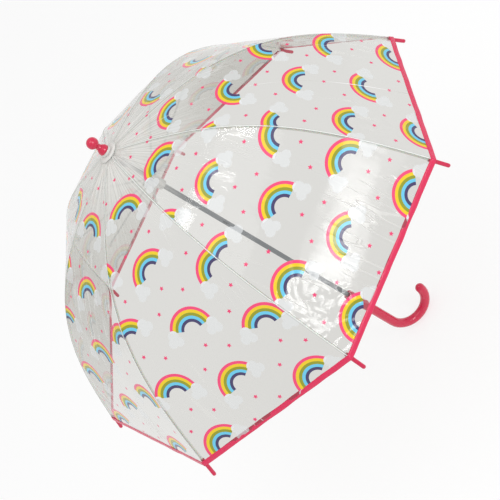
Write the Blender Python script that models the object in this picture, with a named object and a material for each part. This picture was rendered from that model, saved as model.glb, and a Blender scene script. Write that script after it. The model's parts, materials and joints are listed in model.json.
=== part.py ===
"""Children's dome umbrella, open, standing upright on the axis of its shaft.

Metres, +Z up.  The origin is the middle of the straight grip, the shaft runs along Z
and the hook of the handle opens towards +X.  The frame is eight ribs hinged on a
slotted top notch, each with a stretcher that runs to a runner on the shaft.
"""

import math

import bmesh
import bpy
from mathutils import Matrix, Vector

# ---- driving dimensions ----
RIBS = 8
GAP = 0.0003                    # clearance between neighbouring pieces

CANOPY_RADIUS = 0.350           # from the shaft to a corner of the hem
CANOPY_DEPTH = 0.262            # from the crown down to the corners of the hem
CROWN_Z = 0.528
RIB_TURN = math.radians(52)     # how much a rib bends from its pivot to the hem
RIB_EASE = 0.7                  # 0 bends it evenly, 1 leaves both its ends straight
FOLD_ANGLE = math.radians(47)   # how far a rib swings from open to closed

SHAFT_RADIUS = 0.0036
SHAFT_WALL = 0.0008
SHAFT_IN_HANDLE = 0.036
SHAFT_IN_FINIAL = 0.0075

FINIAL_BALL = 0.0085
FINIAL_BALL_UP = 0.0245         # its centre above the crown
FINIAL_WAIST = 0.0042
FINIAL_WAIST_UP = 0.0155
FINIAL_BELL = 0.0082
FINIAL_RIM = 0.0020             # straight lowest part of the bell
WASHER_RADIUS = 0.0084
WASHER_HEIGHT = 0.0034
CROWN_DROP = 0.0020             # of the clamped film, from its middle to its edge
STOP_RADIUS = 0.0052
STOP_TOP_DOWN = 0.0240          # top of the shaft's stop below the crown
STOP_HEIGHT = 0.0100
CHAMFER = 0.0005
SLIVER = 0.0001                 # keeps faces of joined bodies out of one plane

GRIP_HALF = 0.054               # half the straight part of the handle
HANDLE_RADIUS = 0.0078
HOOK_RADIUS = 0.035             # to the centre line of the bend
HOOK_TURN = math.radians(176)

PIVOT_RADIUS = 0.010            # of the rib and stretcher pivots from the shaft's axis
NOTCH_RADIUS = 0.0130
NOTCH_HEIGHT = 0.0062
WIRE_RADIUS = 0.0005
SLEEVE_RADIUS = 0.0073
RUNNER_LENGTH = 0.026
FLANGE_HEIGHT = 0.0056

RIB_WIDTH = 0.0022
RIB_HEIGHT = 0.0020
STRETCHER_WIDTH = 0.0014
STRETCHER_HEIGHT = 0.0018
EYE_RADIUS = 0.0019
EYE_BORE = 0.0009
FOOT_EYE_RADIUS = 0.0015
JOINT_ARC = 0.122               # along the rib from its pivot to the stretcher's rivet
JOINT_DROP = 0.0050             # from the rib down to the rivet
CHEEK_THICKNESS = 0.0008
CHEEK_BELOW = 0.0018            # a cheek's edge below the rivet's axis
RIVET_RADIUS = 0.0006
RIVET_HEAD_RADIUS = 0.0014
RIVET_HEAD = 0.0007
RIB_START = 0.0014              # the bar starts beside the eye's bore
BRACKET_LENGTH = 0.0050

TIP_RADIUS = 0.00275
TIP_BORE = 0.0018
TIP_INSIDE = 0.010              # tip cap inside the hem corner
TIP_OUTSIDE = 0.020             # and beyond it
RIB_IN_TIP = 0.012

FILM = 0.0003                   # thickness of the canopy's sheet
FILM_LIFT_CROWN = 0.0014        # sheet above the rib's centre line, at the crown
FILM_LIFT_HEM = 0.0034          # and at the hem, over the tip cap
FILM_INNER_ARC = 0.0055         # where the sheet starts, along the rib
HEM_WIDTH = 0.0080
HEM_THICKNESS = 0.0009

CATCH_WIDTH = 0.0016
CATCH_LENGTH = 0.0100
CATCH_INNER = 0.0016
CATCH_OUTER = 0.0060
CATCH_ANGLE = math.radians(-90)

# ---- sizes worked out from them ----
NOTCH_Z = CROWN_Z - 0.0042      # height of the wire the ribs hang on
PIVOT_TO_HEM = CANOPY_DEPTH - (CROWN_Z - NOTCH_Z)
PIVOT_TO_CORNER = math.hypot(CANOPY_RADIUS - PIVOT_RADIUS, PIVOT_TO_HEM)
CHORD_SLOPE = math.atan2(PIVOT_TO_HEM, CANOPY_RADIUS - PIVOT_RADIUS)
END_SLOPE = CHORD_SLOPE + RIB_TURN / 2


def bend_at(share):
    """How far below the chord's slope a rib points, at a share of its length."""
    return RIB_TURN * (share - 0.5 - RIB_EASE * math.sin(math.tau * share) / math.tau)


def summed(slope_at, length, steps=40):
    """Run and drop of a curve whose slope is known, by the midpoint rule."""
    step = length / steps
    slopes = [slope_at((i + 0.5) * step) for i in range(steps)]
    return step * sum(map(math.cos, slopes)), step * sum(map(math.sin, slopes))


RIB_ARC = PIVOT_TO_CORNER / summed(bend_at, 1.0)[0]


def rib_slope(arc):
    return CHORD_SLOPE + bend_at(arc / RIB_ARC)


def rib_point(arc, lift=0.0):
    """Distance from the shaft and height of a point of the open rib."""
    run, drop = summed(rib_slope, arc)
    slope = rib_slope(arc)
    return (PIVOT_RADIUS + run + lift * math.sin(slope),
            NOTCH_Z - drop + lift * math.cos(slope))


JOINT_R, JOINT_Z = rib_point(JOINT_ARC, -JOINT_DROP)
LINK = math.hypot(JOINT_R - PIVOT_RADIUS, NOTCH_Z - JOINT_Z)     # both from the notch and to the runner
LINK_SLOPE = math.atan2(NOTCH_Z - JOINT_Z, JOINT_R - PIVOT_RADIUS)
RUNNER_Z = NOTCH_Z - 2 * LINK * math.sin(LINK_SLOPE)
RUNNER_TRAVEL = 2 * LINK * (math.sin(LINK_SLOPE + FOLD_ANGLE) - math.sin(LINK_SLOPE))
RUNNER_TOP = RUNNER_Z + FLANGE_HEIGHT / 2
RUNNER_FOOT = RUNNER_TOP - RUNNER_LENGTH
TOP_CATCH_Z = RUNNER_FOOT - GAP - CATCH_LENGTH / 2
BOTTOM_CATCH_Z = RUNNER_TOP - RUNNER_TRAVEL + GAP + CATCH_LENGTH / 2
RIB_STEP = math.tau / RIBS
HALF_GORE = RIB_STEP / 2


# ---- materials ----
def material(name, colour, roughness, metallic=0.0, alpha=1.0):
    made = bpy.data.materials.new(name)
    made.use_nodes = True
    shader = made.node_tree.nodes["Principled BSDF"]
    shader.inputs["Base Color"].default_value = (*colour, 1.0)
    shader.inputs["Roughness"].default_value = roughness
    shader.inputs["Metallic"].default_value = metallic
    shader.inputs["Alpha"].default_value = alpha
    return made


# ---- mesh helpers ----
def add_object(name, mesh_data, finish):
    """Link a bmesh into the scene as one named object."""
    bmesh.ops.recalc_face_normals(mesh_data, faces=mesh_data.faces)
    mesh = bpy.data.meshes.new(name)
    mesh_data.to_mesh(mesh)
    mesh_data.free()
    if finish is not None:
        mesh.materials.append(finish)
    made = bpy.data.objects.new(name, mesh)
    bpy.context.scene.collection.objects.link(made)
    return made


def smooth(made, angle=35):
    made.data.shade_smooth()
    made.data.set_sharp_from_angle(angle=math.radians(angle))
    return made


def loft(name, rings, finish, closed=False):
    """Skin a list of rings; a ring of one point is a pole."""
    shape = bmesh.new()
    loops = [[shape.verts.new(point) for point in ring] for ring in rings]
    pairs = list(zip(loops, loops[1:]))
    if closed:
        pairs.append((loops[-1], loops[0]))
    for lower, upper in pairs:
        count = max(len(lower), len(upper))
        for i in range(count):
            j = (i + 1) % count
            corners = [lower[i % len(lower)], lower[j % len(lower)],
                       upper[j % len(upper)], upper[i % len(upper)]]
            face = [c for n, c in enumerate(corners) if c not in corners[:n]]
            shape.faces.new(face)
    if not closed:
        for end in (loops[0], loops[-1]):
            if len(end) > 2:
                shape.faces.new(end)
    return add_object(name, shape, finish)


def turned(name, outline, finish, sides=32, closed=False):
    """Turn (radius, height) points round Z; radius 0 is a pole."""
    rings = []
    for radius, height in outline:
        if radius == 0:
            rings.append([Vector((0, 0, height))])
        else:
            rings.append([
                Vector((radius * math.cos(math.tau * i / sides),
                        radius * math.sin(math.tau * i / sides), height))
                for i in range(sides)])
    return smooth(loft(name, rings, finish, closed))


def boxes(name, parts, finish=None):
    """Separate boxes in one object, each as (centre, size, turn about Z)."""
    shape = bmesh.new()
    for centre, size, turn in parts:
        place = (Matrix.Rotation(turn, 4, "Z") @ Matrix.Translation(centre)
                 @ Matrix.Diagonal((*size, 1)))
        bmesh.ops.create_cube(shape, size=1.0, matrix=place)
    return add_object(name, shape, finish)


def cut(made, cutter):
    """Cut a hidden guide out of an object."""
    cutter.hide_render = True
    cutter.display_type = "WIRE"
    step = made.modifiers.new(cutter.name, "BOOLEAN")
    step.operation = "DIFFERENCE"
    step.solver = "EXACT"
    step.object = cutter


def baked(made):
    """The object's mesh after its modifiers, with its guides removed."""
    bpy.context.view_layer.update()
    graph = bpy.context.evaluated_depsgraph_get()
    mesh = bpy.data.meshes.new_from_object(made.evaluated_get(graph))
    guides = [step.object for step in made.modifiers if step.type == "BOOLEAN"]
    for used in (*guides, made):
        bpy.data.objects.remove(used)
    return mesh


def place_round(name, mesh, index, pivot_r, pivot_z):
    """Put a copy on rib number index, with its origin on its hinge."""
    made = bpy.data.objects.new(f"{name}_{index + 1}", mesh)
    bpy.context.scene.collection.objects.link(made)
    angle = index * RIB_STEP
    made.location = (pivot_r * math.cos(angle), pivot_r * math.sin(angle), pivot_z)
    made.rotation_euler.z = angle
    return made


def moved(mesh, radius, height):
    """Shift a mesh so that the point (radius, 0, height) becomes its origin."""
    mesh.transform(Matrix.Translation((-radius, 0, -height)))
    return mesh


# ---- root ----
def shaft_tube(steel):
    bottom = GRIP_HALF - SHAFT_IN_HANDLE
    top = CROWN_Z + SHAFT_IN_FINIAL
    inner = SHAFT_RADIUS - SHAFT_WALL
    tube = turned("shaft_tube", [
        (inner, bottom), (SHAFT_RADIUS, bottom), (SHAFT_RADIUS, top), (inner, top),
    ], steel, sides=24, closed=True)
    slot = (SHAFT_RADIUS * 2, CATCH_WIDTH + 2 * GAP, CATCH_LENGTH + 2 * GAP)
    cut(tube, boxes("shaft_slots_cut", [
        (Vector((SHAFT_RADIUS + CHAMFER, 0, height)), slot, CATCH_ANGLE)
        for height in (TOP_CATCH_Z, BOTTOM_CATCH_Z)]))
    return tube


def handle_crook(plastic):
    sides = 24

    def ring(centre, across, radius):
        return [centre + radius * (math.cos(math.tau * i / sides) * across
                                   + math.sin(math.tau * i / sides) * Vector((0, 1, 0)))
                for i in range(sides)]

    bore = SHAFT_RADIUS + GAP
    floor = GRIP_HALF - SHAFT_IN_HANDLE - GAP
    edge = 0.0015
    side = Vector((1, 0, 0))
    rings = [
        [Vector((0, 0, floor))],
        ring(Vector((0, 0, floor)), side, bore),
        ring(Vector((0, 0, GRIP_HALF)), side, bore),
        ring(Vector((0, 0, GRIP_HALF)), side, HANDLE_RADIUS - edge),
        ring(Vector((0, 0, GRIP_HALF - 0.3 * edge)), side, HANDLE_RADIUS - 0.3 * edge),
        ring(Vector((0, 0, GRIP_HALF - edge)), side, HANDLE_RADIUS),
    ]
    bend_steps = 20
    for step in range(bend_steps + 1):
        turn = HOOK_TURN * step / bend_steps
        across = Vector((math.cos(turn), 0, math.sin(turn)))
        centre = Vector((HOOK_RADIUS, 0, -GRIP_HALF)) - HOOK_RADIUS * across
        rings.append(ring(centre, across, HANDLE_RADIUS))
    ahead = Vector((-math.sin(HOOK_TURN), 0, math.cos(HOOK_TURN))) * -1
    end_steps = 5
    for step in range(1, end_steps):
        turn = math.pi / 2 * step / end_steps
        rings.append(ring(centre + HANDLE_RADIUS * math.sin(turn) * ahead,
                          across, HANDLE_RADIUS * math.cos(turn)))
    rings.append([centre + HANDLE_RADIUS * ahead])
    return smooth(loft("handle_crook", rings, plastic))


def finial(plastic):
    """A ball on a waist on a flared bell, with a blind hole for the shaft."""
    foot = CROWN_Z + FILM + 2 * GAP + WASHER_HEIGHT
    rim = foot + FINIAL_RIM
    waist_z = CROWN_Z + FINIAL_WAIST_UP
    ball_z = CROWN_Z + FINIAL_BALL_UP
    bore = SHAFT_RADIUS + GAP
    bore_top = CROWN_Z + SHAFT_IN_FINIAL + GAP
    outline = [(0, bore_top), (bore, bore_top), (bore, foot), (FINIAL_BELL - CHAMFER, foot),
               (FINIAL_BELL, foot + CHAMFER)]
    bell_steps = 9
    for step in range(bell_steps):
        part = step / bell_steps
        ease = part * part * (3 - 2 * part)
        outline.append((FINIAL_BELL + (FINIAL_WAIST - FINIAL_BELL) * ease,
                        rim + (waist_z - rim) * part))
    first = math.pi - math.asin(FINIAL_WAIST / FINIAL_BALL)
    ball_steps = 12
    for step in range(ball_steps):
        turn = first * (1 - step / ball_steps)
        outline.append((FINIAL_BALL * math.sin(turn), ball_z + FINIAL_BALL * math.cos(turn)))
    outline.append((0, ball_z + FINIAL_BALL))
    return turned("finial", outline, plastic, sides=28)


def crown_washer(plastic):
    """A low cone between the finial and the clamped film."""
    inner = SHAFT_RADIUS + GAP
    low = CROWN_Z + FILM + GAP
    high = low + WASHER_HEIGHT
    top = FINIAL_BELL - CHAMFER
    return turned("crown_washer", [
        (inner, low), (WASHER_RADIUS, low), (WASHER_RADIUS, low + 2 * CHAMFER), (top, high), (inner, high),
    ], plastic, sides=28, closed=True)


def crown_film(film):
    """The clamped middle of the sheet, over the notch and under the washer."""
    inner = SHAFT_RADIUS + GAP
    bend = NOTCH_RADIUS + GAP
    edge = rib_point(FILM_INNER_ARC)[0] - 2 * GAP
    return turned("crown_film", [
        (inner, CROWN_Z), (bend, CROWN_Z), (edge, CROWN_Z - CROWN_DROP), (edge, CROWN_Z - CROWN_DROP + FILM),
        (bend, CROWN_Z + FILM), (inner, CROWN_Z + FILM),
    ], film, closed=True)


def notch_slots(name, centre_z, height):
    """Eight radial slots from the pivots outwards."""
    reach = NOTCH_RADIUS
    start = PIVOT_RADIUS - EYE_RADIUS - GAP
    centre = Vector((start + reach / 2, 0, centre_z))
    size = (reach, RIB_WIDTH + 2 * GAP, height)
    return boxes(name, [(centre, size, i * RIB_STEP) for i in range(RIBS)])


def top_notch(plastic):
    inner = SHAFT_RADIUS + GAP
    high = CROWN_Z - GAP
    low = high - NOTCH_HEIGHT
    groove = WIRE_RADIUS + GAP
    notch = turned("top_notch", [
        (inner, low), (PIVOT_RADIUS - groove, low), (PIVOT_RADIUS - groove, NOTCH_Z + groove),
        (PIVOT_RADIUS + groove, NOTCH_Z + groove), (PIVOT_RADIUS + groove, low),
        (NOTCH_RADIUS - CHAMFER, low), (NOTCH_RADIUS, low + CHAMFER),
        (NOTCH_RADIUS, high - CHAMFER), (NOTCH_RADIUS - CHAMFER, high), (inner, high),
    ], plastic, closed=True)
    cut(notch, notch_slots("notch_slots_cut", CROWN_Z - NOTCH_HEIGHT / 2, 2 * NOTCH_HEIGHT))
    return notch


def notch_wire(steel):
    sides = 8
    around = 48
    rings = []
    for i in range(around):
        angle = math.tau * i / around
        out = Vector((math.cos(angle), math.sin(angle), 0))
        centre = PIVOT_RADIUS * out + Vector((0, 0, NOTCH_Z))
        rings.append([
            centre + WIRE_RADIUS * (math.cos(math.tau * j / sides) * out
                                    + math.sin(math.tau * j / sides) * Vector((0, 0, 1)))
            for j in range(sides)])
    return smooth(loft("notch_wire", rings, steel, closed=True))


def shaft_stop(plastic):
    inner = SHAFT_RADIUS + GAP
    high = CROWN_Z - STOP_TOP_DOWN
    low = high - STOP_HEIGHT
    return turned("shaft_stop", [
        (inner, low), (STOP_RADIUS - CHAMFER, low), (STOP_RADIUS, low + CHAMFER),
        (STOP_RADIUS, high - CHAMFER), (STOP_RADIUS - CHAMFER, high), (inner, high),
    ], plastic, sides=24, closed=True)


# ---- runner and its catches ----
def runner(plastic):
    inner = SHAFT_RADIUS + GAP
    flange = NOTCH_RADIUS
    low = RUNNER_TOP - FLANGE_HEIGHT
    body = turned("runner", [
        (inner, RUNNER_FOOT), (SLEEVE_RADIUS - CHAMFER, RUNNER_FOOT),
        (SLEEVE_RADIUS, RUNNER_FOOT + CHAMFER), (SLEEVE_RADIUS, low), (flange - CHAMFER, low),
        (flange, low + CHAMFER), (flange, RUNNER_TOP - CHAMFER), (flange - CHAMFER, RUNNER_TOP),
        (inner, RUNNER_TOP),
    ], plastic, closed=True)
    cut(body, notch_slots("runner_slots_cut", RUNNER_TOP - FLANGE_HEIGHT / 2, 1.15 * FLANGE_HEIGHT))
    keyway = (CATCH_OUTER + GAP, CATCH_WIDTH + 2 * GAP, RUNNER_LENGTH + 4 * CHAMFER)
    centre = Vector((keyway[0] / 2, 0, (RUNNER_TOP + RUNNER_FOOT) / 2))
    cut(body, boxes("runner_keyway_cut", [(centre, keyway, CATCH_ANGLE)]))
    return body


def catch(name, height, ramp_up, steel):
    """A flat spring catch: square on the side that holds, sloped on the other."""
    ramp = CATCH_LENGTH / 2 if ramp_up else -CATCH_LENGTH / 2
    outline = [(CATCH_INNER, ramp), (SHAFT_RADIUS - GAP, ramp), (CATCH_OUTER, -ramp * 0.2),
               (CATCH_OUTER, -ramp), (CATCH_INNER, -ramp)]
    rings = []
    for side in (-CATCH_WIDTH / 2, CATCH_WIDTH / 2):
        rings.append([Vector((radius, side, up)) for radius, up in outline])
    made = loft(name, rings, steel)
    made.location = (0, 0, height)
    made.rotation_euler.z = CATCH_ANGLE
    return made


# ---- one rib and what it carries ----
def swept_bar(name, centres, width, height, finish):
    """A flat bar along points of the XZ plane, each (radius, height, slope)."""
    rings = []
    for radius, up, slope in centres:
        normal = Vector((math.sin(slope), 0, math.cos(slope)))
        side = Vector((0, 1, 0))
        centre = Vector((radius, 0, up))
        rings.append([
            centre + a * height / 2 * normal + b * width / 2 * side
            for a, b in ((-1, -1), (-1, 1), (1, 1), (1, -1))])
    return loft(name, rings, finish)


def pin_along_y(name, radius_at, height_at, radius, length, finish, sides=12):
    rings = []
    for side in (-length / 2, length / 2):
        rings.append([
            Vector((radius_at + radius * math.cos(math.tau * i / sides), side,
                    height_at + radius * math.sin(math.tau * i / sides)))
            for i in range(sides)])
    return smooth(loft(name, rings, finish))


def union(made, other):
    other.hide_render = True
    other.display_type = "WIRE"
    step = made.modifiers.new(other.name, "BOOLEAN")
    step.operation = "UNION"
    step.solver = "EXACT"
    step.object = other


def bracket(steel):
    """A folded clip under the rib whose two cheeks hold the stretcher's rivet."""
    inside = STRETCHER_WIDTH / 2 + GAP
    outside = inside + CHEEK_THICKNESS
    top = RIB_HEIGHT * 0.2
    saddle = -RIB_HEIGHT * 0.7
    foot = -JOINT_DROP - CHEEK_BELOW
    outline = [(-outside, foot), (-outside, top), (outside, top), (outside, foot),
               (inside, foot), (inside, saddle), (-inside, saddle), (-inside, foot)]
    slope = rib_slope(JOINT_ARC)
    rings = []
    for along in (-BRACKET_LENGTH / 2, BRACKET_LENGTH / 2):
        ring = []
        for side, lift in outline:
            radius, height = rib_point(JOINT_ARC, lift)
            ring.append(Vector((radius + along * math.cos(slope), side,
                                height - along * math.sin(slope))))
        rings.append(ring)
    return loft("bracket", rings, steel)


def rib_mesh(steel):
    last = RIB_ARC - TIP_INSIDE + RIB_IN_TIP
    steps = 18
    centres = []
    for step in range(steps + 1):
        arc = RIB_START + (last - RIB_START) * step / steps
        centres.append((*rib_point(arc), rib_slope(arc)))
    bar = swept_bar("rib_bar", centres, RIB_WIDTH, RIB_HEIGHT, steel)
    union(bar, pin_along_y("rib_eye", PIVOT_RADIUS, NOTCH_Z, EYE_RADIUS, RIB_WIDTH - SLIVER, steel, 16))
    union(bar, bracket(steel))
    cut(bar, pin_along_y("eye_bore", PIVOT_RADIUS, NOTCH_Z, EYE_BORE, 0.01, None, 14))
    cut(bar, pin_along_y("rivet_bore", JOINT_R, JOINT_Z, EYE_BORE, 0.01, None, 12))
    return moved(baked(bar), PIVOT_RADIUS, NOTCH_Z)


def rivet_mesh(steel):
    """A rivet through both cheeks with a flat head at each end."""
    half = STRETCHER_WIDTH / 2 + GAP + CHEEK_THICKNESS + GAP
    outer = half + RIVET_HEAD
    outline = [(0, -outer), (RIVET_HEAD_RADIUS, -outer), (RIVET_HEAD_RADIUS, -half), (RIVET_RADIUS, -half),
               (RIVET_RADIUS, half), (RIVET_HEAD_RADIUS, half), (RIVET_HEAD_RADIUS, outer), (0, outer)]
    made = turned("rivet", outline, steel, sides=12)
    made.data.transform(Matrix.Rotation(math.radians(90), 4, "X"))
    mesh = made.data.copy()
    bpy.data.objects.remove(made)
    mesh.transform(Matrix.Translation((JOINT_R, 0, JOINT_Z)))
    return moved(mesh, PIVOT_RADIUS, NOTCH_Z)


def stretcher_mesh(steel):
    """Origin on its rivet; it runs inwards and down to the runner."""
    bar = swept_bar("stretcher_bar", [
        (PIVOT_RADIUS, RUNNER_Z, -LINK_SLOPE), (JOINT_R, JOINT_Z, -LINK_SLOPE)],
        STRETCHER_WIDTH - SLIVER, STRETCHER_HEIGHT, steel)
    union(bar, pin_along_y("foot_eye", PIVOT_RADIUS, RUNNER_Z, FOOT_EYE_RADIUS, STRETCHER_WIDTH, steel, 16))
    union(bar, pin_along_y("joint_eye", JOINT_R, JOINT_Z, EYE_RADIUS, STRETCHER_WIDTH, steel, 16))
    cut(bar, pin_along_y("joint_bore", JOINT_R, JOINT_Z, EYE_BORE, 0.01, None, 12))
    return moved(baked(bar), JOINT_R, JOINT_Z)


def tip_mesh(plastic):
    """A closed plastic cap pushed over the rib's end, along the rib's end slope."""
    start = -TIP_INSIDE
    end = TIP_OUTSIDE
    floor = start + RIB_IN_TIP + GAP
    outline = [(0, floor), (TIP_BORE, floor), (TIP_BORE, start), (TIP_RADIUS - CHAMFER, start),
               (TIP_RADIUS, start + CHAMFER), (TIP_RADIUS, end - TIP_RADIUS)]
    for step in range(1, 4):
        turn = math.pi / 2 * step / 4
        outline.append((TIP_RADIUS * math.cos(turn), end - TIP_RADIUS * (1 - math.sin(turn))))
    outline.append((0, end))
    made = turned("tip_cap", outline, plastic, sides=16)
    mesh = made.data.copy()
    bpy.data.objects.remove(made)
    corner_r, corner_z = rib_point(RIB_ARC)
    mesh.transform(Matrix.Translation((corner_r, 0, corner_z))
                   @ Matrix.Rotation(math.pi / 2 + END_SLOPE, 4, "Y"))
    return moved(mesh, PIVOT_RADIUS, NOTCH_Z)


def film_lift(arc):
    return FILM_LIFT_CROWN + (FILM_LIFT_HEM - FILM_LIFT_CROWN) * arc / RIB_ARC


def gore_point(arc, lift, across):
    """A point of the flat gore beside the rib; across runs from -1 to 1."""
    radius, height = rib_point(arc, lift)
    edge = radius * math.tan(HALF_GORE)
    middle = radius * math.cos(HALF_GORE)
    side = abs(across)
    flat = Vector((middle * math.cos(HALF_GORE), middle * math.sin(HALF_GORE), height))
    point = Vector((radius, 0, height)).lerp(flat, side)
    point += Vector((math.sin(HALF_GORE), -math.cos(HALF_GORE), 0)) * GAP * side
    return Vector((point.x, math.copysign(point.y, across) if across else 0.0, point.z))


def gore_mesh(name, arcs, low, high, finish):
    """A thin roof-shaped solid: two half gores that meet over the rib."""
    rings = []
    for arc in arcs:
        under = film_lift(arc) + low
        over = film_lift(arc) + high
        rings.append([gore_point(arc, under, -1), gore_point(arc, under, 0), gore_point(arc, under, 1),
                      gore_point(arc, over, 1), gore_point(arc, over, 0), gore_point(arc, over, -1)])
    made = loft(name, rings, finish)
    mesh = made.data.copy()
    bpy.data.objects.remove(made)
    return moved(mesh, PIVOT_RADIUS, NOTCH_Z)


def film_mesh(film):
    last = RIB_ARC - HEM_WIDTH - GAP
    steps = 14
    arcs = [FILM_INNER_ARC + (last - FILM_INNER_ARC) * i / steps for i in range(steps + 1)]
    return gore_mesh("film", arcs, 0, FILM, film)


def hem_mesh(plastic):
    return gore_mesh("hem", [RIB_ARC - HEM_WIDTH, RIB_ARC], 0, HEM_THICKNESS, plastic)


# ---- assembly ----
def build():
    for old in list(bpy.data.objects):
        bpy.data.objects.remove(old)
    steel = material("steel", (0.45, 0.46, 0.47), 0.30, 1.0)
    zinc = material("zinc_wire", (0.55, 0.56, 0.56), 0.40, 1.0)
    fibre = material("white_fibreglass", (0.80, 0.81, 0.79), 0.45)
    pink = material("pink_plastic", (0.80, 0.03, 0.13), 0.20)
    pale = material("pale_plastic", (0.78, 0.78, 0.79), 0.40)
    dark = material("dark_plastic", (0.06, 0.08, 0.14), 0.45)
    clear = material("clear_film", (0.90, 0.90, 0.88), 0.08, alpha=0.25)
    binding = material("pink_binding", (0.85, 0.04, 0.15), 0.45)

    shaft_tube(steel)
    handle_crook(pink)
    finial(pink)
    crown_washer(pale)
    crown_film(clear)
    top_notch(pale)
    notch_wire(zinc)
    shaft_stop(dark)
    runner(pale)
    catch("top_catch", TOP_CATCH_Z, False, steel)
    catch("bottom_catch", BOTTOM_CATCH_Z, True, steel)

    shared = {
        "rib": rib_mesh(fibre),
        "tip_cap": tip_mesh(pink),
        "joint_rivet": rivet_mesh(zinc),
        "canopy_film": film_mesh(clear),
        "hem_binding": hem_mesh(binding),
    }
    stretcher = stretcher_mesh(zinc)
    for index in range(RIBS):
        for name, mesh in shared.items():
            place_round(name, mesh, index, PIVOT_RADIUS, NOTCH_Z)
        place_round("stretcher", stretcher, index, JOINT_R, JOINT_Z)


build()
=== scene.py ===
"""Looks of the children's dome umbrella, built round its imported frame."""

import json
import math

import bpy
from mathutils import Matrix, Vector, noise


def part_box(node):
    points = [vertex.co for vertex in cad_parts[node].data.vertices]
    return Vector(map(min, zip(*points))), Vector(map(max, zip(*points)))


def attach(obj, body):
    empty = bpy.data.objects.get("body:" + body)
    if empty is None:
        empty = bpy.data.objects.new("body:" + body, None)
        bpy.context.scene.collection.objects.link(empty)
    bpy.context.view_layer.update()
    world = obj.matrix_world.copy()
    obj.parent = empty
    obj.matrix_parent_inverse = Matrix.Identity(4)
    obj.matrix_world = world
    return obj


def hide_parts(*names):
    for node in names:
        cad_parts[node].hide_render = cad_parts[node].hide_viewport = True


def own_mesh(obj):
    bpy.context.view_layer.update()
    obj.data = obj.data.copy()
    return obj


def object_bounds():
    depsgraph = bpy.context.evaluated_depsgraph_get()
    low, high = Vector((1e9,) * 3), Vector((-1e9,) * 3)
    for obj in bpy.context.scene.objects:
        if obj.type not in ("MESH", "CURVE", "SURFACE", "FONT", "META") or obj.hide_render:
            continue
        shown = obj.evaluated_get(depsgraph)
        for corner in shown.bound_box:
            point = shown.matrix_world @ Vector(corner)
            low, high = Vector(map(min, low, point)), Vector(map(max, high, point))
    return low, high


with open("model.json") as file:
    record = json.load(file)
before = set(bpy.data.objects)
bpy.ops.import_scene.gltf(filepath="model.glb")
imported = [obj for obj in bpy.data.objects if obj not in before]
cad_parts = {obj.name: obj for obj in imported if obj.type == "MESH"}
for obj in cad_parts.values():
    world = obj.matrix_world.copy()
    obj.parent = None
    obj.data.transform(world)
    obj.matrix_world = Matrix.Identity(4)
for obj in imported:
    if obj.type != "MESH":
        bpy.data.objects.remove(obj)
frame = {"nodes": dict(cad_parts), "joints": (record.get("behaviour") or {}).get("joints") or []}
cad_low, cad_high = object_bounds()

JOINTS = {joint["name"]: joint for joint in frame["joints"]}
RIBS = 8
RIB_STEP = math.tau / RIBS
HALF_GORE = RIB_STEP / 2

# The rib's curve, as the frame has it: its pivot, and the corner of the hem.
PIVOT_R = JOINTS["canopy_fold"]["pos_m"][0]
PIVOT_Z = JOINTS["canopy_fold"]["pos_m"][2]
RIB_TURN = math.radians(52)     # how much a rib bends from its pivot to the hem
RIB_EASE = 0.7                  # 0 bends it evenly, 1 leaves both its ends straight
SHEET_LIFT_CROWN = 0.00155      # sheet above the rib's centre line, at the crown
SHEET_LIFT_HEM = 0.00355        # and at the hem
HEM_LIFT = 0.0034
HEM_WIDTH = 0.0080
HEM_THICKNESS = 0.0009


def bend_at(share):
    """How much steeper than its chord the rib is, at a share of its length."""
    return RIB_TURN * (share - 0.5 - RIB_EASE * math.sin(math.tau * share) / math.tau)


def summed(slope_at, span, steps=40):
    """Run and drop of a curve whose slope is known."""
    step = span / steps
    slopes = [slope_at((i + 0.5) * step) for i in range(steps)]
    return step * sum(map(math.cos, slopes)), step * sum(map(math.sin, slopes))


def hem_corner():
    """Corner of the hem on the rib's centre line, from the hem's own box."""
    low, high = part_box("hem_binding_1")
    slope = math.radians(63)        # a first guess, which the loop improves
    for _ in range(3):
        radius = high[0] - (HEM_LIFT + HEM_THICKNESS) * math.sin(slope)
        height = low[2] - HEM_LIFT * math.cos(slope)
        slope = math.atan2(PIVOT_Z - height, radius - PIVOT_R) + RIB_TURN / 2
    return radius, height


HEM_R, HEM_Z = hem_corner()
CHORD = math.hypot(HEM_R - PIVOT_R, PIVOT_Z - HEM_Z)
CHORD_SLOPE = math.atan2(PIVOT_Z - HEM_Z, HEM_R - PIVOT_R)
RIB_ARC = CHORD / summed(bend_at, 1.0)[0]


def rib_slope(arc):
    return CHORD_SLOPE + bend_at(arc / RIB_ARC)


def rib_point(arc, lift=0.0):
    """Distance from the shaft and height of a point over the open rib."""
    run, drop = summed(rib_slope, arc)
    slope = rib_slope(arc)
    return PIVOT_R + run + lift * math.sin(slope), PIVOT_Z - drop + lift * math.cos(slope)


def sheet_lift(arc):
    return SHEET_LIFT_CROWN + (SHEET_LIFT_HEM - SHEET_LIFT_CROWN) * arc / RIB_ARC


def around(angle):
    """Directions away from the shaft and round it, at an angle about it."""
    cosine, sine = math.cos(angle), math.sin(angle)
    return Vector((cosine, sine, 0)), Vector((-sine, cosine, 0))


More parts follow.
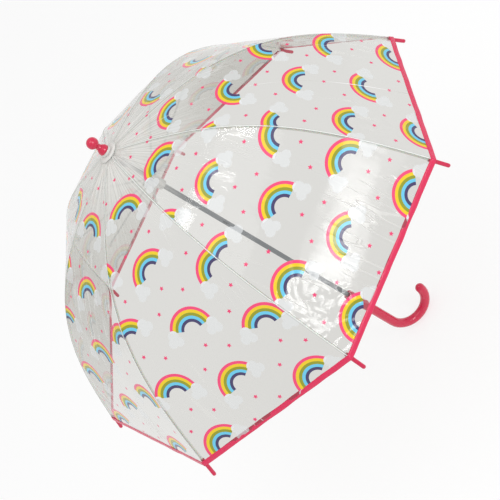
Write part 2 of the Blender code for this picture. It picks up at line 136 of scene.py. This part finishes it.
# ---------------------------------------------------------------- shader arithmetic
class Num:
    """A number in a node tree that ordinary arithmetic works on."""

    def __init__(self, tree, socket):
        self.tree = tree
        self.socket = socket

    def do(self, operation, *others):
        node = self.tree.nodes.new("ShaderNodeMath")
        node.operation = operation
        for slot, value in zip(node.inputs, (self, *others)):
            if isinstance(value, Num):
                self.tree.links.new(value.socket, slot)
            else:
                slot.default_value = value
        return Num(self.tree, node.outputs[0])

    def __add__(self, other):
        return self.do("ADD", other)

    def __sub__(self, other):
        return self.do("SUBTRACT", other)

    def __mul__(self, other):
        return self.do("MULTIPLY", other)

    def __truediv__(self, other):
        return self.do("DIVIDE", other)

    def below(self, other):
        return self.do("LESS_THAN", other)

    def above(self, other):
        return self.do("GREATER_THAN", other)

    def most(self, other):
        return self.do("MAXIMUM", other)

    def abs(self):
        return self.do("ABSOLUTE")


def length(x, y):
    return (x * x + y * y).do("SQRT")


class Paint:
    """A new material and short ways to add nodes to it."""

    def __init__(self, name):
        self.material = bpy.data.materials.new(name)
        self.material.use_nodes = True
        self.tree = self.material.node_tree
        self.tree.nodes.clear()
        self.out = self.tree.nodes.new("ShaderNodeOutputMaterial")

    def node(self, kind, **inputs):
        made = self.tree.nodes.new(kind)
        for name, value in inputs.items():
            self.feed(made.inputs[name.replace("_", " ")], value)
        return made

    def feed(self, slot, value):
        if isinstance(value, Num):
            self.tree.links.new(value.socket, slot)
        elif isinstance(value, bpy.types.NodeSocket):
            self.tree.links.new(value, slot)
        else:
            slot.default_value = value

    def num(self, socket):
        return Num(self.tree, socket)

    def mix(self, share, first, second):
        made = self.tree.nodes.new("ShaderNodeMixShader")
        self.feed(made.inputs[0], share)
        self.tree.links.new(first, made.inputs[1])
        self.tree.links.new(second, made.inputs[2])
        return made.outputs[0]

    def tint(self, share, first, second):
        made = self.tree.nodes.new("ShaderNodeMix")
        made.data_type = "RGBA"
        self.feed(made.inputs[0], share)
        self.feed(made.inputs[6], first)
        self.feed(made.inputs[7], second)
        return made.outputs[2]

    def noise(self, where, scale, detail=3.0, rough=0.5):
        made = self.node("ShaderNodeTexNoise", Vector=where, Scale=scale, Detail=detail,
                         Roughness=rough)
        return self.num(made.outputs[0])

    def bump(self, height, strength, distance):
        made = self.node("ShaderNodeBump", Height=height, Strength=strength, Distance=distance)
        return made.outputs[0]

    def stretch(self, where, size):
        made = self.tree.nodes.new("ShaderNodeMapping")
        self.feed(made.inputs["Vector"], where)
        made.inputs["Scale"].default_value = size
        return made.outputs[0]

    def place(self):
        return self.tree.nodes.new("ShaderNodeTexCoord").outputs["Object"]

    def uv(self):
        return self.tree.nodes.new("ShaderNodeTexCoord").outputs["UV"]

    def finish(self, surface):
        self.tree.links.new(surface, self.out.inputs["Surface"])
        return self.material


def rgb(red, green, blue):
    """A colour given as it looks on screen, from 0 to 255."""
    def linear(part):
        part /= 255
        return part / 12.92 if part <= 0.04045 else ((part + 0.055) / 1.055) ** 2.4
    return (linear(red), linear(green), linear(blue), 1.0)


# ---------------------------------------------------------------- the printed sheet
# The print repeats on every gore, in metres: u across from its middle, v down from the crown.
COLUMN = 0.083                  # between columns of rainbows
PITCH = 0.0925                  # between rainbows down a column
FIRST_ROW = 0.112
PRINT_START = 0.062             # no rainbows nearer the crown
COLUMN_DROP = 0.054             # side columns sit this much lower
CELL_TOP = 0.038                # a cell starts this far above its rainbow's centre
TILT = math.radians(16)
RAINBOW_OUTER = 0.0328
BAND = 0.0041
BAND_COLOURS = (                # from the inside out
    rgb(62, 52, 104), rgb(108, 210, 246), rgb(154, 160, 12), rgb(248, 214, 0), rgb(253, 70, 126),
)
RAINBOW_SPREAD = 0.23           # how far up the arch's ends stop, as a slope
PUFFS = ((0.0300, 0.0020, 0.0078), (0.0345, -0.0065, 0.0066), (0.0245, -0.0070, 0.0064))
STARS = ((0.0, 0.024), (-0.025, 0.048), (0.025, 0.043))
STAR_RADIUS = 0.0022
STAR_POINTS = 5.0
STAR_DEPTH = 0.28
STAR_INK = rgb(247, 62, 120)
CLOUD_INK = rgb(236, 240, 242)
BACK_OF_INK = rgb(222, 220, 214)
BACK_SHARE = 0.62               # how much the ink's pale back shows from inside
BACK_LOSS = 0.42                # and how much thinner it looks there
INK_COVER = 0.97
CLOUD_COVER = 0.50


def print_masks(paint):
    """Masks of the arch, clouds and stars, and the arch's colour."""
    split = paint.node("ShaderNodeSeparateXYZ", Vector=paint.uv())
    u = paint.num(split.outputs[0])
    v = paint.num(split.outputs[1])
    column = (u / COLUMN).do("ROUND")
    side = column.abs().do("MODULO", 2.0)
    down = v - side * COLUMN_DROP - FIRST_ROW
    row = ((down + CELL_TOP) / PITCH).do("FLOOR")
    across = u - column * COLUMN
    down = down - row * PITCH
    lean = row.abs().do("MODULO", 2.0) * (-2 * TILT) + TILT
    cosine = lean.do("COSINE")
    sine = lean.do("SINE")
    x = across * cosine + down * sine
    y = across * sine - down * cosine
    reach = length(x, y)
    printed = v.above(PRINT_START)
    inner = RAINBOW_OUTER - BAND * len(BAND_COLOURS)
    ring = reach.below(RAINBOW_OUTER) * reach.above(inner)
    arch = ring * (y - x.abs() * RAINBOW_SPREAD).above(0.0) * printed
    bands = paint.node("ShaderNodeValToRGB", Fac=(reach - inner) / (RAINBOW_OUTER - inner))
    bands.color_ramp.interpolation = "CONSTANT"
    stops = bands.color_ramp.elements
    for index, colour in enumerate(BAND_COLOURS):
        stop = stops[index] if index < 2 else stops.new(index / len(BAND_COLOURS))
        stop.position = index / len(BAND_COLOURS)
        stop.color = colour
    cloud = None
    for out, up, size in PUFFS:
        puff = length(x.abs() - out, y - up).below(size)
        cloud = puff if cloud is None else cloud.most(puff)
    star = None
    for left, low in STARS:
        dx = across - left
        dy = down - low
        spikes = (dx.do("ARCTAN2", dy) * STAR_POINTS).do("COSINE") * STAR_DEPTH + 1.0
        dot = (length(dx, dy) * spikes).below(STAR_RADIUS)
        star = dot if star is None else star.most(dot)
    return arch, cloud * printed, star, bands.outputs[0]


FILM_TINT = (0.738, 0.733, 0.708, 1.0)
MILK = (0.735, 0.73, 0.70, 1.0)
GATHER_END = 0.185              # down from the crown, where the film lies smooth
GATHER_FULL = 0.045             # and where it is fully gathered
GATHER_HAZE = 0.95
FILM_HAZE = 0.035
CROWN_HAZE = 0.40
MOST_CLOUDY = 0.94
FAN_ACROSS = 34.0               # streaks that fan out from the crown
FAN_DOWN = 9.0
SOFT_CREASES = (38, 9, 1)       # how much finer across the gore than down it
FINE_CREASES = (46, 5, 1)
# how white the painted highlights on the fine creases are
FINE_CREASE_HIGHLIGHT = 0.55
CREASE_DEPTH = 0.0016
CRUMPLE_DEPTH = 5.0             # the crumpled corner by the hem, on one side of each gore
CRUMPLE_DOWN = (0.30, 0.37)     # where it begins and is full
CRUMPLE_ACROSS = (-0.045, -0.080)
MIRROR_ROUGHNESS = 0.075
MIRROR_FACE_ON = 0.032
MIRROR_EDGE_ON = 0.80


def ramp(value, start, end):
    """0 before start, 1 after end, straight between."""
    return ((value - start) / (end - start)).do("MAXIMUM", 0.0).do("MINIMUM", 1.0)


def clear_film(paint, haze):
    """See-through soft plastic, milkier where it is gathered, with painted white highlights on its
    fine creases, and its creased normal.
    """
    split = paint.node("ShaderNodeSeparateXYZ", Vector=paint.uv())
    u = paint.num(split.outputs[0])
    v = paint.num(split.outputs[1])
    gathered = ramp(v, GATHER_END, GATHER_FULL)
    fan = paint.node("ShaderNodeCombineXYZ", X=u / v * FAN_ACROSS, Y=v * FAN_DOWN)
    streaks = paint.noise(fan.outputs[0], 1.0, 5.0, 0.65)
    creases = paint.noise(paint.stretch(paint.uv(), SOFT_CREASES), 1.0, 3.0, 0.5)
    corner = ramp(v, *CRUMPLE_DOWN) * ramp(u, *CRUMPLE_ACROSS)
    folds = (paint.noise(paint.place(), 34.0, 2.0, 0.4) - 0.5).abs()
    pulled = (paint.noise(paint.stretch(paint.uv(), FINE_CREASES), 1.0, 2.0, 0.4) - 0.5).abs()
    patches = ramp(paint.noise(paint.place(), 8.0, 1.0), 0.50, 0.60)
    # fine creases in patches: each raises a real bump and also gets a painted white highlight along
    # it
    creases_and_highlight = ramp(pulled, 0.014, 0.004) * patches
    height = creases * 0.45 + streaks * (gathered * 1.6 + 0.03)
    height = height + folds * corner * CRUMPLE_DEPTH + creases_and_highlight * 0.5
    normal = paint.bump(height, 0.55, CREASE_DEPTH)
    through = paint.node("ShaderNodeBsdfTransparent", Color=FILM_TINT)
    milk = paint.node("ShaderNodeBsdfDiffuse", Color=MILK)
    veil = ((streaks - 0.5) * 2.4 + 0.74).do("MAXIMUM", 0.1)
    # the crease term here is painted highlight, mixed in as milky white
    cloudy = gathered * veil * GATHER_HAZE + creases_and_highlight * FINE_CREASE_HIGHLIGHT + haze
    cloudy = cloudy.do("MINIMUM", MOST_CLOUDY)
    return paint.mix(cloudy, through.outputs[0], milk.outputs[0]), normal


def mirrored(paint, surface, normal):
    """A surface with the sheet's clear reflection over it, the same from both sides."""
    mirror = paint.node("ShaderNodeBsdfGlossy", Color=(1, 1, 1, 1), Roughness=MIRROR_ROUGHNESS,
                        Normal=normal)
    facing = paint.node("ShaderNodeLayerWeight", Blend=0.5, Normal=normal).outputs["Facing"]
    share = paint.num(facing).do("POWER", 5.0) * MIRROR_EDGE_ON + MIRROR_FACE_ON
    return paint.mix(share, surface, mirror.outputs[0])


def printed_film():
    """Clear film with the print on it; from inside, the print shows its paler back."""
    paint = Paint("printed_clear_film")
    arch, cloud, star, band = print_masks(paint)
    film, normal = clear_film(paint, FILM_HAZE)
    ink_grain = paint.noise(paint.place(), 900.0, 2.0) * 0.10 + 0.84
    ink = paint.tint(star, band, STAR_INK)
    ink = paint.tint(cloud, ink, CLOUD_INK)
    grained = paint.node("ShaderNodeHueSaturation", Color=ink, Value=ink_grain).outputs[0]
    behind = paint.tint(BACK_SHARE, grained, BACK_OF_INK)
    back = paint.tree.nodes.new("ShaderNodeNewGeometry").outputs["Backfacing"]
    inked = paint.node("ShaderNodeBsdfPrincipled", Base_Color=paint.tint(back, grained, behind),
                       Roughness=0.5)
    inked.inputs["Specular IOR Level"].default_value = 0.1
    cover = (arch.most(star) * INK_COVER).most(cloud * CLOUD_COVER)
    back_cover = paint.num(back) * -BACK_LOSS + 1.0
    surface = paint.mix(cover * back_cover, film, inked.outputs[0])
    return paint.finish(mirrored(paint, surface, normal))


def gathered_film():
    """The same film without print, milky all over, for the crown and its washer."""
    paint = Paint("gathered_film")
    film, normal = clear_film(paint, CROWN_HAZE)
    return paint.finish(mirrored(paint, film, normal))


def seam_film():
    """The welded double layer along a rib: a painted white highlight down its middle, between two
    dull lines.
    """
    paint = Paint("welded_seam")
    split = paint.node("ShaderNodeSeparateXYZ", Vector=paint.uv())
    across = paint.num(split.outputs[0]).abs() * 2.0
    # painted highlight: a white band down the middle of the weld, standing in for the light a
    # rounded bead would catch
    highlight_bead = ramp(across, 0.45, 0.25)
    line = ramp(across, 0.62, 0.72) * ramp(across, 0.98, 0.88)
    through = paint.node("ShaderNodeBsdfTransparent", Color=(0.93, 0.94, 0.93, 1.0))
    weld = paint.node("ShaderNodeTexWave", Vector=paint.uv(), Scale=180.0, Distortion=1.0)
    weld.bands_direction = "Y"
    normal = paint.bump(paint.num(weld.outputs["Fac"]), 0.25, 0.0003)
    # the near-white is the painted highlight's colour; the grey-green is the colour of the weld's
    # dull edge lines
    colour = paint.tint(line, rgb(250, 252, 250), rgb(158, 170, 163))
    skin = paint.node("ShaderNodeBsdfPrincipled", Base_Color=colour, Roughness=0.14, Normal=normal)
    cover = (highlight_bead * 0.66).most(line * 0.26) + 0.05
    return paint.finish(paint.mix(cover, through.outputs[0], skin.outputs[0]))


# ---------------------------------------------------------------- solid materials
def moulded(name, colour, roughness, fleck, coat):
    """Moulded plastic: slight colour drift, flow ripples and handling marks."""
    paint = Paint(name)
    where = paint.place()
    drift = paint.noise(where, 35.0, 3.0) * fleck + (1 - fleck / 2)
    shade = paint.node("ShaderNodeHueSaturation", Color=colour, Value=drift).outputs[0]
    marks = paint.noise(paint.stretch(where, (1, 1, 0.35)), 260.0, 4.0, 0.65)
    normal = paint.bump(marks, 0.10, 0.0004)
    rough = paint.noise(where, 90.0, 3.0) * 0.10 + (roughness - 0.05)
    made = paint.node("ShaderNodeBsdfPrincipled", Base_Color=shade, Roughness=rough, Normal=normal,
                      Coat_Weight=coat, Coat_Roughness=0.08)
    return paint.finish(made.outputs[0])


def metal(name, colour, roughness, stretch=(1, 1, 0.02), grain=0.22):
    """Drawn metal with fine marks along its length, or plated metal with even ones."""
    paint = Paint(name)
    lines = paint.noise(paint.stretch(paint.place(), stretch), 1800.0, 3.0)
    spots = paint.noise(paint.place(), 45.0, 3.0)
    drift = spots * 0.16 + 0.92
    shade = paint.node("ShaderNodeHueSaturation", Color=colour, Value=drift).outputs[0]
    rough = lines * grain + (roughness - grain / 2)
    normal = paint.bump(lines, 0.08, 0.0001)
    made = paint.node("ShaderNodeBsdfPrincipled", Base_Color=shade, Metallic=1.0,
                      Roughness=rough, Normal=normal)
    return paint.finish(made.outputs[0])


def hem_vinyl():
    """Soft pink strip with a crimped weld along it."""
    paint = Paint("pink_hem_vinyl")
    where = paint.place()
    drift = paint.noise(where, 60.0, 4.0) * 0.14 + 0.93
    shade = paint.node("ShaderNodeHueSaturation", Color=rgb(222, 28, 84), Value=drift).outputs[0]
    crimp = paint.node("ShaderNodeTexWave", Vector=paint.uv(), Scale=60.0, Distortion=0.6)
    wrinkle = paint.noise(where, 150.0, 3.0)
    normal = paint.bump(paint.num(crimp.outputs["Fac"]) * 0.3 + wrinkle, 0.35, 0.0005)
    made = paint.node("ShaderNodeBsdfPrincipled", Base_Color=shade, Roughness=0.33, Normal=normal,
                      Coat_Weight=0.25, Coat_Roughness=0.15)
    return paint.finish(made.outputs[0])


def glass_fibre():
    """White rods with fibres showing along them."""
    paint = Paint("white_glass_fibre")
    fibres = paint.noise(paint.place(), 700.0, 4.0)
    drift = fibres * 0.10 + 0.95
    shade = paint.node("ShaderNodeHueSaturation", Color=rgb(244, 246, 241), Value=drift).outputs[0]
    normal = paint.bump(fibres, 0.15, 0.0002)
    made = paint.node("ShaderNodeBsdfPrincipled", Base_Color=shade, Roughness=0.35, Normal=normal,
                      Subsurface_Weight=0.15, Subsurface_Scale=0.002)
    return paint.finish(made.outputs[0])


# ---------------------------------------------------------------- mesh helpers
def add_mesh(name, points, faces, material, uvs=None, normals=None):
    mesh = bpy.data.meshes.new(name)
    mesh.from_pydata(points, [], faces)
    mesh.materials.append(material)
    if uvs is not None:
        layer = mesh.uv_layers.new(name="UVMap")
        for loop in mesh.loops:
            layer.data[loop.index].uv = uvs[loop.vertex_index]
    mesh.shade_smooth()
    if normals is not None:
        mesh.normals_split_custom_set_from_vertices(normals)
    made = bpy.data.objects.new(name, mesh)
    bpy.context.scene.collection.objects.link(made)
    return made


def grid_faces(rows, columns, start=0, round_it=False):
    """Quads of a grid of points stored row by row; round_it joins the last column to the first."""
    wide = columns if round_it else columns - 1
    faces = []
    for i in range(rows - 1):
        for j in range(wide):
            a = start + i * columns + j
            b = start + i * columns + (j + 1) % columns
            faces.append((a, b, b + columns, a + columns))
    return faces


# ---------------------------------------------------------------- canopy
SHEET_START = 0.0040            # along the rib, just over the notch
SHEET_ROWS = 96
SHEET_COLUMNS = 17
PLEATS = 5.0
PLEAT_DEPTH = 0.0010
PLEAT_FADE = 0.055
SLACK = 0.0016
AREA_STRIPS = 60
SEAM_HALF = 0.0017              # half the width of the weld
SEAM_LIFT = 0.00025
SEAM_START = SHEET_START + 0.003
SEAM_ROWS = 70
SEAM_COLUMNS = 9
HEM_RINGS = 81
HEM_SIDES = 12
HEM_WAVE = 0.00045
HEM_HALF_LENGTH = 0.134         # along the binding, for its texture
TIE_ARC = 0.0150                # the nearest tie, and how far the others step out
TIE_STAGGER = 0.004
TIE_HALF_WIDTH = 0.00135
TIE_HALF_HEIGHT = 0.00125
TIE_TURN_PITCH = 0.00035
CROWN_INNER = 0.0042            # the clamped middle of the sheet
CROWN_OVERLAP = 0.0006
CROWN_CLAMPED = 0.0125          # flat as far as here, then it drops with the ribs
CROWN_FOLDS = 24
CROWN_FOLD_DEPTH = 0.00030


def ripple(gore, share, arc):
    """How far a gore's sheet stands off its flat shape; nothing along its ribs."""
    free = 1 - share * share
    near_crown = math.exp(-arc / PLEAT_FADE)
    wander = noise.noise(Vector((share * 2.2, arc * 14, gore * 7.3)))
    pleat = math.sin(PLEATS * math.pi * share + 2.5 * wander + gore)
    fine = noise.noise(Vector((share * 7.0, arc * 30, gore * 3.1 + 5)))
    slack = noise.noise(Vector((share * 1.3, arc * 9, gore * 5.7 + 20)))
    return free * (PLEAT_DEPTH * near_crown * (pleat + fine) + SLACK * slack * min(1, arc / 0.08))


def gore_point(gore, share, arc, lift):
    """A point of gore number gore; share runs from -1 on its first rib to 1 on its next."""
    out, side = around((gore + 0.5) * RIB_STEP)
    radius, height = rib_point(arc, lift)
    return (out * radius * math.cos(HALF_GORE) + side * radius * math.sin(HALF_GORE) * share
            + Vector((0, 0, height)))


def gore_normal(arc, gore):
    out, _ = around((gore + 0.5) * RIB_STEP)
    slope = rib_slope(arc)
    return (out * math.sin(slope) + Vector((0, 0, math.cos(slope)))).normalized()


def sheet_point(gore, share, arc):
    off = ripple(gore, share, arc) * gore_normal(arc, gore)
    return gore_point(gore, share, arc, sheet_lift(arc)) + off


def sheet_normal(gore, share, arc):
    step = 0.002
    across = sheet_point(gore, share + step, arc) - sheet_point(gore, share - step, arc)
    along = sheet_point(gore, share, arc + step) - sheet_point(gore, share, arc - step)
    return along.cross(across).normalized()


def canopy_sector(rib, film):
    """The sheet on both sides of one rib, out to the middle of each gore, and its flat size."""
    points, uvs, normals, faces = [], [], [], []
    last = RIB_ARC - HEM_WIDTH * 0.5
    for gore, first, final in ((rib - 1, 0.0, 1.0), (rib, -1.0, 0.0)):
        start = len(points)
        for i in range(SHEET_ROWS + 1):
            arc = SHEET_START + (last - SHEET_START) * (i / SHEET_ROWS) ** 1.25
            half = rib_point(arc)[0] * math.sin(HALF_GORE)
            for j in range(SHEET_COLUMNS):
                share = first + (final - first) * j / (SHEET_COLUMNS - 1)
                points.append(sheet_point(gore, share, arc))
                normals.append(sheet_normal(gore, share, arc))
                uvs.append((share * half, arc))
        faces += grid_faces(SHEET_ROWS + 1, SHEET_COLUMNS, start)
    faces = [face[::-1] for face in faces]
    normals = [tuple(normal) for normal in normals]
    piece = add_mesh(f"canopy_sheet_{rib + 1}", points, faces, film, uvs, normals)
    area = 0.0
    for i in range(AREA_STRIPS):
        arc = SHEET_START + (last - SHEET_START) * (i + 0.5) / AREA_STRIPS
        area += 2 * rib_point(arc)[0] * math.sin(HALF_GORE) * (last - SHEET_START) / AREA_STRIPS
    width = 2 * HEM_R * math.sin(HALF_GORE)
    return piece, (width, last - SHEET_START), area


def seam_strip(rib, material):
    """The welded allowance along a rib, a little proud of the sheet."""
    points, uvs = [], []
    out, side = around(rib * RIB_STEP)
    for i in range(SEAM_ROWS + 1):
        arc = SEAM_START + (RIB_ARC - HEM_WIDTH - SEAM_START) * i / SEAM_ROWS
        radius, height = rib_point(arc, sheet_lift(arc) + SEAM_LIFT)
        slope = rib_slope(arc)
        for j in range(SEAM_COLUMNS):
            share = -1 + 2 * j / (SEAM_COLUMNS - 1)
            width = SEAM_HALF * (1 + 0.10 * noise.noise(Vector((arc * 40, rib * 3.0, 0))))
            fall = abs(share) * width * math.tan(HALF_GORE) * math.sin(slope)
            points.append(out * (radius - fall * math.sin(slope)) + side * share * width
                          + Vector((0, 0, height - fall * math.cos(slope))))
            uvs.append((share * 0.5, arc))
    faces = grid_faces(SEAM_ROWS + 1, SEAM_COLUMNS)
    return add_mesh(f"weld_seam_{rib + 1}", points, faces, material, uvs)


def hem_strip(rib, material):
    """A folded soft strip along the hem, from gore middle to gore middle, mitred at the rib."""
    points, uvs = [], []
    for i in range(HEM_RINGS):
        share = -1 + 2 * i / (HEM_RINGS - 1)
        gore = rib if share >= 0 else rib - 1
        gore_share = share - 1 if share >= 0 else share + 1
        for j in range(HEM_SIDES):
            turn = math.tau * j / HEM_SIDES
            wave = HEM_WAVE * noise.noise(gore_point(gore, gore_share, RIB_ARC, 0) * 55)
            flat = abs(math.cos(turn)) ** 0.6 * math.copysign(1, math.cos(turn))
            arc = RIB_ARC - HEM_WIDTH / 2 + HEM_WIDTH / 2 * flat + wave
            lift = HEM_LIFT + HEM_THICKNESS / 2 + HEM_THICKNESS * 0.6 * math.sin(turn) + wave
            points.append(gore_point(gore, gore_share, arc, lift))
            uvs.append((j / HEM_SIDES, share * HEM_HALF_LENGTH))
    faces = [face[::-1] for face in grid_faces(HEM_RINGS, HEM_SIDES, round_it=True)]
    return add_mesh(f"hem_strip_{rib + 1}", points, faces, material, uvs)


def rib_tie(rib, material):
    """The knot that ties a rib to the sheet near the crown."""
    arc = TIE_ARC + TIE_STAGGER * (rib % 3)
    out, side = around(rib * RIB_STEP)
    radius, height = rib_point(arc, 0.0)
    slope = rib_slope(arc)
    along = out * math.cos(slope) - Vector((0, 0, math.sin(slope)))
    normal = out * math.sin(slope) + Vector((0, 0, math.cos(slope)))
    rows, columns = 5, 20
    points = []
    for i in range(rows * columns):
        ring, step = divmod(i, columns)
        turn = math.tau * step / columns
        from_middle = ring - (rows - 1) / 2
        shift = from_middle * TIE_TURN_PITCH
        swell = 1 + 0.16 * math.cos(from_middle * 1.2) + 0.04 * math.sin(3 * turn)
        across = TIE_HALF_WIDTH * math.cos(turn) * swell
        up = TIE_HALF_HEIGHT * math.sin(turn) * swell
        points.append(out * radius + Vector((0, 0, height)) + along * shift
                      + side * across + normal * up)
    faces = grid_faces(rows, columns, round_it=True)
    return add_mesh(f"rib_tie_{rib + 1}", points, faces, material)


def build_canopy():
    film = printed_film()
    seam = seam_film()
    vinyl = hem_vinyl()
    thread = moulded("dark_tie_thread", rgb(62, 66, 78), 0.7, 0.2, 0.0)
    for rib in range(RIBS):
        body = f"rib_{rib + 1}"
        sheet, flat, area = canopy_sector(rib, film)
        strip = seam_strip(rib, seam)
        hem = hem_strip(rib, vinyl)
        tie = rib_tie(rib, thread)
        for piece in (sheet, strip, hem, tie):
            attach(piece, body)
        for piece in (sheet, hem):
            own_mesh(piece)
        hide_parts(f"canopy_film_{rib + 1}")
        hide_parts(f"hem_binding_{rib + 1}")


def build_crown(gathered):
    """The gathered middle of the sheet, clamped under the finial's washer."""
    low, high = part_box("crown_film")
    middle_z = high[2] - 0.00015
    outer = high[0] + CROWN_OVERLAP
    rows, columns = 12, 96
    points, uvs = [], []
    for i in range(rows):
        share = i / (rows - 1)
        radius = CROWN_INNER + (outer - CROWN_INNER) * share
        fall = max(0.0, (radius - CROWN_CLAMPED) / (outer - CROWN_CLAMPED)) ** 1.3
        for j in range(columns):
            angle = math.tau * j / columns
            out, _ = around(angle)
            wander = 2 * math.sin(angle * 3)
            fold = math.sin(angle * CROWN_FOLDS + wander) * CROWN_FOLD_DEPTH * share
            height = middle_z - (high[2] - low[2]) * fall + fold
            points.append(out * radius + Vector((0, 0, height)))
            uvs.append((angle / math.tau * 0.05, 0.02 + radius))
    faces = grid_faces(rows, columns, round_it=True)
    piece = add_mesh("crown_gather", points, faces, gathered, uvs)
    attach(piece, "root")
    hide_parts("crown_film")


# ---------------------------------------------------------------- frame parts
def dress_frame(gathered):
    """Give every carried-over part of the frame its material."""
    pink = moulded("glossy_pink", rgb(208, 14, 66), 0.20, 0.05, 0.6)
    tips = moulded("pink_tip", rgb(204, 22, 72), 0.30, 0.06, 0.3)
    pale = moulded("pale_runner", rgb(222, 223, 224), 0.38, 0.05, 0.1)
    dark = moulded("dark_stop", rgb(120, 126, 140), 0.45, 0.08, 0.1)
    steel = metal("shaft_steel", rgb(138, 142, 146), 0.30)
    wire = metal("zinc_wire", rgb(205, 208, 208), 0.40, (1, 1, 1), 0.2)
    fibre = glass_fibre()
    looks = {
        "handle_crook": pink, "finial": pink, "crown_washer": gathered, "top_notch": pale,
        "runner": pale, "notch_wire": wire, "shaft_stop": dark, "shaft_tube": steel,
        "top_catch": steel, "bottom_catch": steel,
    }
    for index in range(1, RIBS + 1):
        looks[f"rib_{index}"] = fibre
        looks[f"stretcher_{index}"] = wire
        looks[f"joint_rivet_{index}"] = wire
        looks[f"tip_cap_{index}"] = tips
    for node, look in looks.items():
        part = frame["nodes"][node]
        part.data.materials.clear()
        part.data.materials.append(look)


# ---------------------------------------------------------------- stage
# The camera, as fitted to the hem corners, the shaft, the crown and the handle.
CAMERA_AZIMUTH = math.radians(11.26)
CAMERA_RISE = math.radians(32.25)
CAMERA_ROLL = math.radians(-59.8)
CAMERA_DISTANCE = 1.593
CAMERA_LENS = 77.8
CAMERA_AIM = Vector((-0.0157, -0.0090, HEM_Z - 0.0092))
FLOOR_GAP = 0.0006
FLOOR_REACH = 60.0
FLOOR_GLOW = 0.71               # a little under white, so that the clear film shows
SKY_LIGHT = 0.72
SEE_THROUGH_LAYERS = 40

# Lamps whose reflection, from the camera, lies on a gore at rest: gore, share of its width,
# arc from the crown, distance, size across and along the gore, power.
GLARES = (
    ("softbox_by_rib_8", 6, 0.62, 0.368, 2.0, (0.34, 0.46), 1.50),
    ("softbox_middle", 6, 0.25, 0.380, 2.0, (0.34, 0.34), 0.84),
    ("softbox_low", 6, -0.12, 0.394, 2.0, (0.36, 0.42), 1.10),
    ("softbox_wide", 6, 0.26, 0.380, 2.0, (0.66, 0.60), 1.80),
    ("corner_softbox", 6, -0.72, 0.385, 2.0, (0.30, 0.45), 2.7),
    ("streak_by_rib_8", 6, 0.90, 0.205, 2.0, (0.020, 0.80), 0.95),
    ("streak_by_rib_7", 6, -0.80, 0.190, 2.0, (0.090, 0.34), 0.75),
)


def add_stage():
    scene = bpy.context.scene
    scene.view_settings.view_transform = "Standard"
    scene.cycles.transparent_max_bounces = SEE_THROUGH_LAYERS
    floor_z = cad_low[2] - FLOOR_GAP
    signs = ((-1, -1), (1, -1), (1, 1), (-1, 1))
    corners = [(x * FLOOR_REACH, y * FLOOR_REACH, floor_z) for x, y in signs]
    paint = Paint("white_floor")
    made = paint.node("ShaderNodeBsdfPrincipled", Base_Color=(0.30, 0.30, 0.30, 1), Roughness=0.7,
                      Emission_Color=(1, 1, 1, 1), Emission_Strength=FLOOR_GLOW)
    made.inputs["Specular IOR Level"].default_value = 0.1
    floor = add_mesh("floor", corners, [(0, 1, 2, 3)], paint.finish(made.outputs[0]))

    world = bpy.data.worlds.new("studio")
    scene.world = world
    world.use_nodes = True
    sky = world.node_tree.nodes["Background"]
    sky.inputs["Color"].default_value = (1.0, 1.0, 1.0, 1.0)
    sky.inputs["Strength"].default_value = SKY_LIGHT

    eye = add_camera(scene)
    add_lamp("overhead", Vector((0, 0, HEM_Z)), Vector((0.1, -0.35, 1)), Vector((1, 0, 0)),
             2.6, (2.0, 2.0), 17)
    for name, gore, share, arc, distance, size, power in GLARES:
        spot = gore_point(gore, share, arc, sheet_lift(arc))
        normal = gore_normal(arc, gore)
        view = (eye - spot).normalized()
        _, side = around((gore + 0.5) * RIB_STEP)
        add_lamp(name, spot, 2 * normal.dot(view) * normal - view, side, distance, size, power)


def add_lamp(name, aim, back, side, distance, size, power):
    """A soft rectangular lamp that faces aim from the direction back; its width runs along side."""
    back = back.normalized()
    across = (side - side.dot(back) * back).normalized()
    data = bpy.data.lights.new(name, "AREA")
    data.shape = "RECTANGLE"
    data.size, data.size_y = size
    data.energy = power
    lamp = bpy.data.objects.new(name, data)
    turned = Matrix((across, back.cross(across), back)).transposed().to_4x4()
    turned.translation = aim + back * distance
    lamp.matrix_world = turned
    bpy.context.scene.collection.objects.link(lamp)


def add_camera(scene):
    """The camera at the photograph's angle; gives its place back."""
    back = Vector((math.sin(CAMERA_AZIMUTH) * math.cos(CAMERA_RISE),
                   -math.cos(CAMERA_AZIMUTH) * math.cos(CAMERA_RISE), math.sin(CAMERA_RISE)))
    data = bpy.data.cameras.new("camera")
    data.sensor_width = 36
    data.lens = CAMERA_LENS
    camera = bpy.data.objects.new("camera", data)
    level = Vector((math.cos(CAMERA_AZIMUTH), math.sin(CAMERA_AZIMUTH), 0))
    right = level * math.cos(CAMERA_ROLL) + back.cross(level) * math.sin(CAMERA_ROLL)
    turned = Matrix((right, back.cross(right), back)).transposed().to_4x4()
    turned.translation = CAMERA_AIM + back * CAMERA_DISTANCE
    camera.matrix_world = turned
    scene.collection.objects.link(camera)
    scene.camera = camera
    return camera.location


gathered_look = gathered_film()
build_canopy()
build_crown(gathered_look)
dress_frame(gathered_look)
add_stage()
